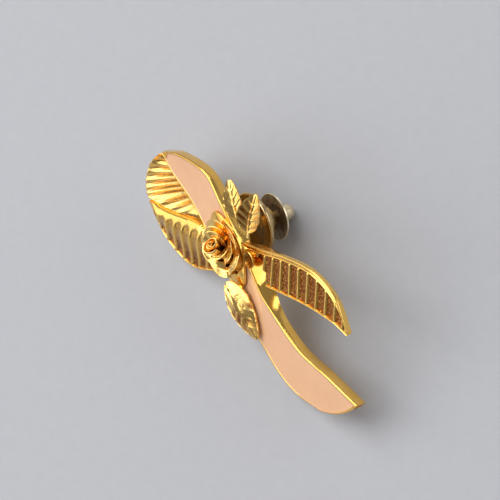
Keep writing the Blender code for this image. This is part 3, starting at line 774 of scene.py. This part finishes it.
def loop_fold():
    """Pleated inside of the loop, from the enamelled band across to the arch and the leg."""
    arch = smooth_curve(ARCH)
    across = np.concatenate([np.linspace(0.0, 0.9, 26), np.linspace(0.92, 1.0, 7)])
    reach = np.sin(math.pi * np.minimum(1.0, across * 0.8 + 0.12)) ** 0.8
    edge_roll = 0.12 * np.maximum(0.0, (across - 0.95) / 0.05) ** 2
    top = []
    bottom = []
    shades = []
    for t in np.linspace(0.0, 1.0, 261):
        start = FRONT.spots(FRONT.length - 0.4 - t * FOLD_ALONG_FRONT, np.array([0.02]))[0]
        end = fold_end(t, arch)
        pleated = float(ease((FOLD_ON_ARCH + 0.3 - t) / 0.25))
        phase = (PLEATS * t / FOLD_ON_ARCH) % 1.0
        crease = math.exp(-((phase - 0.5) / 0.16) ** 2)
        swell = 0.5 + 0.5 * math.cos(2 * math.pi * phase)
        high = ARCH_HIGH + ARCH_CLIMB * ease(t / FOLD_ON_ARCH)
        high += (FOLD_END_HIGH - high) * ease((t - FOLD_ON_ARCH) / (1 - FOLD_ON_ARCH))
        height = FOLD_FLOOR + (high - FOLD_FLOOR) * across ** 2.2
        height -= PLEAT_HIGH * pleated * reach * (0.55 * (1 - swell) + 0.6 * crease)
        height -= pleated * edge_roll
        spots = start + np.outer(across, end - start)
        top.append(np.column_stack([spots, height]))
        bottom.append(np.column_stack([spots, np.zeros(len(across))]))
        # Painted shade along the pleats' creases.
        shades.append(pleated * crease * 0.75 * reach)
    return slab_piece("loop_fold_fine", top, bottom, GOLD_FACETED, "badge",
                      ["ribbon_loop_fold"], shades, sharp=60)


# ---------------------------------------------------------------- rose and leaves
def rose_point(radius, angle, high, tilt=0.0):
    """Point of the flower, whose head leans and opens towards its low side."""
    out_u = radius * math.cos(angle)
    out_v = radius * math.sin(angle)
    level = PETAL_SEAT + high * (1 - ROSE_DROP[0] * out_u - ROSE_DROP[1] * out_v)
    level -= tilt * (ROSE_LEAN[0] * out_u + ROSE_LEAN[1] * out_v)
    return (ROSE[0] + ROSE_LEAN[0] * high + out_u, ROSE[1] + ROSE_LEAN[1] * high + out_v, level)


def petal(node, middle, span, radius, high, spill, drift, uneven, fill):
    """Cupped petal with a thick rolled lip, filled behind so that only its top stands free.

    An uneven petal grows taller and hugs the flower towards the flower's low side.
    """
    levels = np.concatenate([np.linspace(0.0, 0.7, 6), np.linspace(0.76, 1.0, 9)])
    outside = []
    inside = []
    shades = []
    for w in np.linspace(-1.0, 1.0, 35):
        angle = middle + span / 2 * w
        hug = 0.5 + 0.5 * math.cos(angle - LOW_SIDE) if uneven else 0.0
        tall = high * (1 + 0.7 * hug) * (1 - 0.35 * abs(w) ** 3.5)
        tall += 0.04 * math.sin(7 * angle + radius)
        lean_out = spill * (1 - 0.6 * hug)
        outer = []
        inner = []
        for h in levels:
            lip = ease((h - 0.8) / 0.2)
            pinch = 0.05 * math.sin(11 * angle + 3 * h) * h * (1 - lip)
            r = radius + drift * w + lean_out * h ** 2 * (1 - 0.3 * w * w) + 0.16 * lip - pinch
            body = PETAL_THICK + fill * (1 - ease((h - 0.88) / 0.08)) - 0.06 * ease((h - 0.93) / 0.07)
            rounding = 0.05 * ease((h - 0.94) / 0.06)
            outer.append(rose_point(r, angle, tall * h - rounding))
            inner.append(rose_point(r - body, angle, tall * h - rounding))
        outside.append(outer)
        inside.append(inner)
        # Painted shade low on each petal, fading out a third of the way up.
        shades.append([0.6 * (1 - ease(h / 0.35)) for h in levels])
    return slab_piece(f"{node}_fine", outside, inside, GOLD_FACETED, "badge",
                      [node], shades, sharp=75)


def petals():
    """Rings of petals: count, radius, height, spill, drift, span and fill."""
    rings = {"inner": (2, 1.38, 2.5, 0.15, 0.17, math.radians(190), 0.35),
             "middle": (3, 2.0, 2.1, 0.25, 0.17, math.radians(128), 0.5),
             "outer": (5, 2.6, 1.15, 0.95, 0.17, math.radians(82), 0.5)}
    for ring, (count, radius, high, spill, drift, span, fill) in rings.items():
        for k in range(count):
            middle = math.radians(40) + 2 * math.pi * k / count
            petal(f"rose_petal_{ring}_{k + 1}", middle, span, radius, high, spill, drift,
                  ring == "outer", fill)


def rose_heart():
    """Rolled centre: a sheet wound one and three-quarter turns, with a rounded edge."""
    outside = []
    inside = []
    shades = []
    turns = 1.75
    levels = np.concatenate([np.linspace(0.0, 0.8, 4), np.linspace(0.84, 1.0, 7)])
    for t in np.linspace(0.0, 1.0, 111):
        angle = 2 * math.pi * turns * t
        radius = 0.24 + 0.72 * t
        tall = 2.95 - 0.2 * t
        outer = []
        inner = []
        for h in levels:
            edge = 0.05 * ease((h - 0.96) / 0.04)
            body = 0.15 + 0.22 * (1 - ease((h - 0.88) / 0.06))
            tilt = ease((h - 0.5) / 0.5)
            outer.append(rose_point(radius - edge, angle, tall * h, tilt))
            inner.append(rose_point(max(0.02, radius - body + edge), angle, tall * h, tilt))
        outside.append(outer)
        inside.append(inner)
        # Painted shade over the rolled centre, fading out near its top edge.
        shades.append([0.55 * (1 - ease((h - 0.86) / 0.1)) for h in levels])
    return slab_piece("rose_heart_fine", outside, inside, GOLD_FACETED, "badge",
                      ["rose_heart"], shades, sharp=75)


def sepals(t, across_mm):
    """Two long narrow blades lying along the upper part of a leaf."""
    high = 0.0
    for crest, end in ((0.2, 0.74), (0.95, 0.66)):
        place = across_mm - crest + 2.0 * t
        slope = min(1.0, max(0.0, place / 0.7 + 1)) * (1 - ease(place / 0.14))
        high += 0.42 * slope * ease((end - t) / 0.12) * ease(t / 0.1)
    return high


def leaf_relief(t, along, w, wide, share, cup, teeth, rim, bladed):
    """Height and painted shade of a leaf's upper side at w, from -1 to 1 across it."""
    blade = math.sin(math.pi * along ** 0.8) ** 0.8
    inner = ease((1 - abs(w)) * wide / 0.16)
    midrib = math.exp(-(w * wide / 0.11) ** 2)
    vein = (along * teeth - 1.1 * abs(w)) % 1.0
    ridge = math.exp(-((vein - 0.5) / 0.17) ** 2) * ease(abs(w) / 0.15)
    field = blade * inner * (1 - midrib)
    veined = ease((t - 0.45) / 0.2) if bladed else 1.0
    lift = 0.35 * math.sin(math.pi * t) + cup * abs(w) ** 1.5 * share
    lift += rim * 0.5 - rim * field + 0.11 * ridge * field * veined + 0.05 * midrib
    # Painted shade in the fields between the veins, which stay bright; a bladed leaf gets it only
    # from about a third of the way along, and other leaves get 0.3 of it except the left half of a
    # deeply cupped one.
    shade_level = field * (1 - ridge)
    if bladed:
        shade_level *= ease((t - 0.3) / 0.25)
    elif cup <= DEEP_CUP or w >= 0.1:
        shade_level *= 0.3
    return lift, shade_level, inner


def leaf(node, base, tip, half_wide, cup, roll, stalk, teeth=6, rim=0.1, bladed=False):
    """Pointed leaf on a stalk, with a midrib, side veins and a raised rim."""
    base = Vector(base)
    run = Vector(tip) - base
    ahead = run.normalized()
    side = ahead.cross(Vector((0, 0, 1))).normalized()
    side.rotate(Matrix.Rotation(roll, 3, ahead))
    face = side.cross(ahead).normalized()
    top = []
    bottom = []
    shades = []
    for t in np.linspace(0.0, 1.0, 111):
        along = min(1.0, max(0.0, (t - stalk) / (1 - stalk)))
        blade = math.sin(math.pi * along ** 0.8) ** 0.8
        wide = STALK_HALF + (half_wide - STALK_HALF) * blade
        wide *= 1.0 - 0.05 * blade * (0.5 - 0.5 * math.cos(2 * math.pi * along * teeth))
        upper = []
        lower = []
        row = []
        for w in np.linspace(-1.0, 1.0, 49):
            lift, shade_level, inner = leaf_relief(t, along, w, wide, wide / half_wide, cup, teeth, rim,
                                             bladed)
            laid = sepals(t, w * wide) if bladed else 0.0
            spot = base + run * t + side * (w * wide) + face * lift
            lower.append(tuple(spot - face * (LEAF_THICK - 0.05 * (1 - inner))))
            upper.append(tuple(spot + face * (laid - rim * 0.5 * min(1.0, laid * 4))))
            # Sepals laid over the leaf carry no painted shade.
            row.append(shade_level * max(0.0, 1 - laid * 6))
        top.append(upper)
        bottom.append(lower)
        shades.append(row)
    return slab_piece(f"{node}_fine", top, bottom, GOLD_FACETED, "badge", [node],
                      shades, sharp=60)


def leaves():
    """Two small leaves above the flower and a large one below it."""
    leaf("leaf_upper", (4.0, -3.1, 2.0), (7.8, 0.9, 1.5), 1.15, 0.3, math.radians(35), 0.2, 5)
    leaf("leaf_side", (3.7, -4.7, 2.0), (9.0, -3.5, 0.9), 1.6, 0.6, math.radians(20), 0.15, 5, 0.14)
    leaf("leaf_lower", (-4.3, -3.3, 2.75), (-8.5, -9.6, 2.0), 2.1, -0.45, math.radians(-12), 0.0,
         bladed=True)


def rose_plate():
    """Flat four-lobed plate with rounded edges under the flower."""
    rim = 120
    section = [(0.0, 0.0), (1.0, 0.0), (1.0, PLATE_THICK - 0.07), (0.995, PLATE_THICK - 0.02),
               (0.98, PLATE_THICK), (0.0, PLATE_THICK)]
    verts = []
    for k in range(rim):
        a = 2 * math.pi * k / rim
        lobe = 1.0 + 0.05 * math.cos(4 * a)
        for scale, high in section:
            x = PLATE_HALF[0] * lobe * scale * math.cos(a)
            y = PLATE_HALF[1] * lobe * scale * math.sin(a)
            verts.append((PLATE_AT[0] + x * math.cos(PLATE_TURN) - y * math.sin(PLATE_TURN),
                          PLATE_AT[1] + x * math.sin(PLATE_TURN) + y * math.cos(PLATE_TURN),
                          PLATE_SEAT + high))
    count = len(section)
    faces = []
    for k in range(rim):
        nxt = (k + 1) % rim
        for j in range(count - 1):
            faces.append((k * count + j, nxt * count + j, nxt * count + j + 1, k * count + j + 1))
    obj = make_piece("rose_plate_fine", verts, faces, GOLD, "badge", ["rose_plate"])
    weld(obj, 50)
    return obj


def bud_cup():
    """Small round dished cup at the crossing."""
    foot = BUD_R * 0.45
    profile = [(0.0, 0.0), (foot, 0.0), (foot, 0.15), (foot + 0.2, 0.22), (BUD_R * 0.8, 0.4),
               (BUD_R - 0.03, BUD_TALL - 0.16), (BUD_R, BUD_TALL - 0.06), (BUD_R - 0.04, BUD_TALL),
               (BUD_R - 0.12, BUD_TALL), (BUD_R - 0.17, BUD_TALL - 0.05), (BUD_R * 0.68, 0.5),
               (BUD_R * 0.4, 0.36), (0.0, 0.3)]
    # Painted shade inside the dish; the outside stays bright.
    outside = [0.0] * 9
    dish = [0.4, 0.8, 0.9, 0.9]
    lathe_piece("bud_cup_fine", [(r, BUD_SEAT + n) for r, n in profile], GOLD, "badge",
                ["bud_cup"], 64, 60, at=BUD, painted_shade=outside + dish)


# ---------------------------------------------------------------- clutch
def behind(distance):
    """Height of something that far behind the clutch's face."""
    return -(CLUTCH_AT + distance)


def clutch_front_disc():
    """Wide thin disc that closes the clutch's face and funnels the post in."""
    hole = 0.62
    edge = DISC_R - 0.35
    profile = [(edge, 0.0), (2.74, 0.0), (2.66, 0.02), (1.52, 0.14), (1.46, 0.16), (0.68, 0.41),
               (hole, 0.44), (hole, 0.58), (1.5, 0.31), (2.7, 0.16), (edge, 0.16)]
    # Painted shade down the funnel towards the hole and over the disc's back.
    dark = [0, 0, 0.5, 0.3, 0.6, 0.8, 0.9, 0.9, 0.9, 0.9, 0.9]
    lathe_piece("clutch_front_disc_fine", [(r, behind(z)) for r, z in profile], BRONZE,
                "clutch_shell", ["clutch_front_disc"], painted_shade=dark)


def clutch_barrel():
    """Outer shell: rolled rim round the front disc, flange, barrel and inturned back lip."""
    roll = 0.18
    lip = 1.02
    profile = [(DISC_R - 0.3, 0.02), (DISC_R - roll, 0.03)]
    for a in np.linspace(0.3, 1.57, 6):
        profile.append((DISC_R - roll + roll * math.sin(a), 0.24 - 0.2 * math.cos(a)))
    profile += [(DISC_R, 0.45), (DISC_R - 0.03, 0.53), (DISC_R - 0.12, 0.58), (DISC_R - 0.4, 0.58),
                (DISC_R - 0.52, 0.55), (DISC_R - 0.6, 0.5)]
    profile += [(BARREL_R + 0.15, 0.5), (BARREL_R + 0.05, 0.53), (BARREL_R, 0.6),
                (BARREL_R, BARREL_END - 0.14), (BARREL_R - 0.04, BARREL_END - 0.04),
                (BARREL_R - 0.12, BARREL_END), (lip, BARREL_END), (lip, BARREL_END - 0.12),
                (BARREL_BORE, BARREL_END - 0.12), (BARREL_BORE, 0.34), (DISC_R - 0.3, 0.34)]
    lathe_piece("clutch_barrel_fine", [(r, behind(z)) for r, z in profile], BRONZE,
                "clutch_shell", ["clutch_barrel"])


def pull_cap():
    """Pulling flange with rounded edges, a ring of painted shade round its neck and a domed end."""
    front = CAP_FLANGE_AT
    back = CAP_FLANGE_AT + 0.28
    socket = 0.88
    bore = 0.7
    profile = [(socket, front), (CAP_FLANGE_R - 0.1, front), (CAP_FLANGE_R - 0.03, front + 0.03),
               (CAP_FLANGE_R, front + 0.1), (CAP_FLANGE_R, back - 0.06),
               (CAP_FLANGE_R - 0.03, back - 0.02), (CAP_FLANGE_R - 0.1, back),
               (CAP_FLANGE_R - 0.4, back), (CAP_FLANGE_R - 0.45, back - 0.02), (1.5, back - 0.02),
               (DOME_R + 0.25, back), (DOME_R + 0.09, back + 0.08)]
    # Painted shade at the flange's inner faces round the socket and the dome's neck.
    shade_levels = [0.9, 0.7, 0.1, 0, 0, 0, 0.1, 0.6, 0.9, 0.9, 0.8, 0.5]
    profile += [(DOME_R + 0.01, back + 0.22), (DOME_R, DOME_CENTRE)]
    profile += [(DOME_R * math.cos(a), DOME_CENTRE + DOME_R * math.sin(a))
                for a in np.linspace(0.1, 1.45, 14)]
    profile += [(0.0, DOME_CENTRE + DOME_R), (0.0, 5.3), (bore * 0.6, 5.3), (bore, 4.9),
                (bore, 3.85), (socket, 3.85)]
    shade_levels += [0] * (len(profile) - len(shade_levels))
    lathe_piece("pull_cap_fine", [(r, behind(z)) for r, z in profile], BRONZE_PAINTED_LIT, "plunger",
                ["pull_cap"], painted_shade=shade_levels)


def coil_spring():
    """Return spring in the clutch, a coil against the shell's back lip, drawn at one fixed length."""
    rings = []
    for t in np.linspace(0.0, 1.0, 151):
        angle = 2 * math.pi * SPRING_TURNS * t
        out = np.array([math.cos(angle), math.sin(angle), 0.0])
        level = behind(SPRING_FRONT + (SPRING_BACK - SPRING_FRONT) * t)
        centre = np.array([*POST, level]) + out * SPRING_R
        ring = []
        for a in np.linspace(0.0, 2 * math.pi, 12, endpoint=False):
            ring.append(centre + SPRING_WIRE * (out * math.cos(a) + np.array([0, 0, math.sin(a)])))
        rings.append(ring)
    rings = np.array(rings)
    rows, cols = rings.shape[:2]
    spring = make_piece("clutch_spring_fine", rings.reshape(-1, 3), tube_faces(rows, cols), STEEL,
                        "clutch_shell", ["clutch_spring"])
    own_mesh(spring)


def clutch():
    clutch_front_disc()
    clutch_barrel()
    pull_cap()
    coil_spring()
    finish_carried(("clutch_cone_seat", "ball_cage"), BRONZE)
    finish_carried(("ball_1", "ball_2", "ball_3"), STEEL)
    finish_carried(("post", "post_pad"), GOLD)


def finish_carried(names, look):
    """CAD nodes that stay as they are get a finished material and smooth shading."""
    for name in names:
        mesh = frame["nodes"][name].data
        mesh.materials.clear()
        mesh.materials.append(look)
        mesh.attributes.new("painted_shade", "FLOAT", "POINT")
        mesh.shade_smooth()
        mesh.set_sharp_from_angle(angle=math.radians(40))


# ---------------------------------------------------------------- stage, light, camera
def stage():
    side = 1.5
    mesh = bpy.data.meshes.new("table_top")
    mesh.from_pydata([(-side, -side, 0), (side, -side, 0), (side, side, 0), (-side, side, 0)], [],
                     [(0, 1, 2, 3)])
    mesh.materials.append(paper("table_paper"))
    table = bpy.data.objects.new("table_top", mesh)
    bpy.context.scene.collection.objects.link(table)


def camera():
    turn = BADGE.to_3x3()
    right, up, back = (turn @ Vector(axis) for axis in (VIEW_RIGHT, VIEW_UP, VIEW_BACK))
    back = back.normalized()
    right = (right - back * right.dot(back)).normalized()
    up = back.cross(right)
    aim = world(VIEW_AIM) + (right * VIEW_OFFSET[0] + up * VIEW_OFFSET[1]) * MM
    data = bpy.data.cameras.new("camera")
    data.sensor_width = SENSOR
    data.lens = SENSOR * VIEW_DISTANCE / VIEW_WIDE
    data.clip_start = 0.005
    data.clip_end = 20.0
    obj = bpy.data.objects.new("camera", data)
    bpy.context.scene.collection.objects.link(obj)
    place = Matrix((right, up, back)).transposed().to_4x4()
    place.translation = aim + back * VIEW_DISTANCE * MM
    obj.matrix_world = place
    bpy.context.scene.camera = obj


def softbox(name, spot, size, power):
    """White rectangular light that faces the pin."""
    data = bpy.data.lights.new(name, "AREA")
    data.shape = "RECTANGLE"
    data.size, data.size_y = size
    data.energy = power
    obj = bpy.data.objects.new(name, data)
    bpy.context.scene.collection.objects.link(obj)
    obj.location = spot
    obj.rotation_euler = Vector(spot).to_track_quat("Z", "Y").to_euler()


def lights():
    softbox("overhead", (-0.34, -0.02, 0.78), (0.8, 0.8), 5.9)
    softbox("upper_card", (-0.34, -0.64, 0.7), (1.0, 0.5), 2.9)
    softbox("front_card", (-0.62, -0.85, 0.42), (1.4, 0.6), 3.4)
    softbox("back_strip", (-0.55, 0.85, 0.3), (0.8, 0.14), 0.9)
    softbox("right_card", (0.6, 0.85, 0.38), (0.8, 0.4), 2.0)
    surroundings = bpy.data.worlds.new("studio")
    surroundings.use_nodes = True
    background = surroundings.node_tree.nodes["Background"]
    background.inputs["Color"].default_value = (0.62, 0.63, 0.66, 1.0)
    background.inputs["Strength"].default_value = 0.4
    bpy.context.scene.world = surroundings
    bpy.context.scene.view_settings.view_transform = "Standard"


# ---------------------------------------------------------------- the pin
enamelled_band()
enamel_pool("enamel_tail_fine", TAIL_POOL, "enamel_tail")
enamel_pool("enamel_loop_fine", LOOP_POOL, "enamel_loop")
ribbed_band()
loop_fold()
rose_plate()
petals()
rose_heart()
leaves()
bud_cup()
clutch()
stage()
camera()
lights()
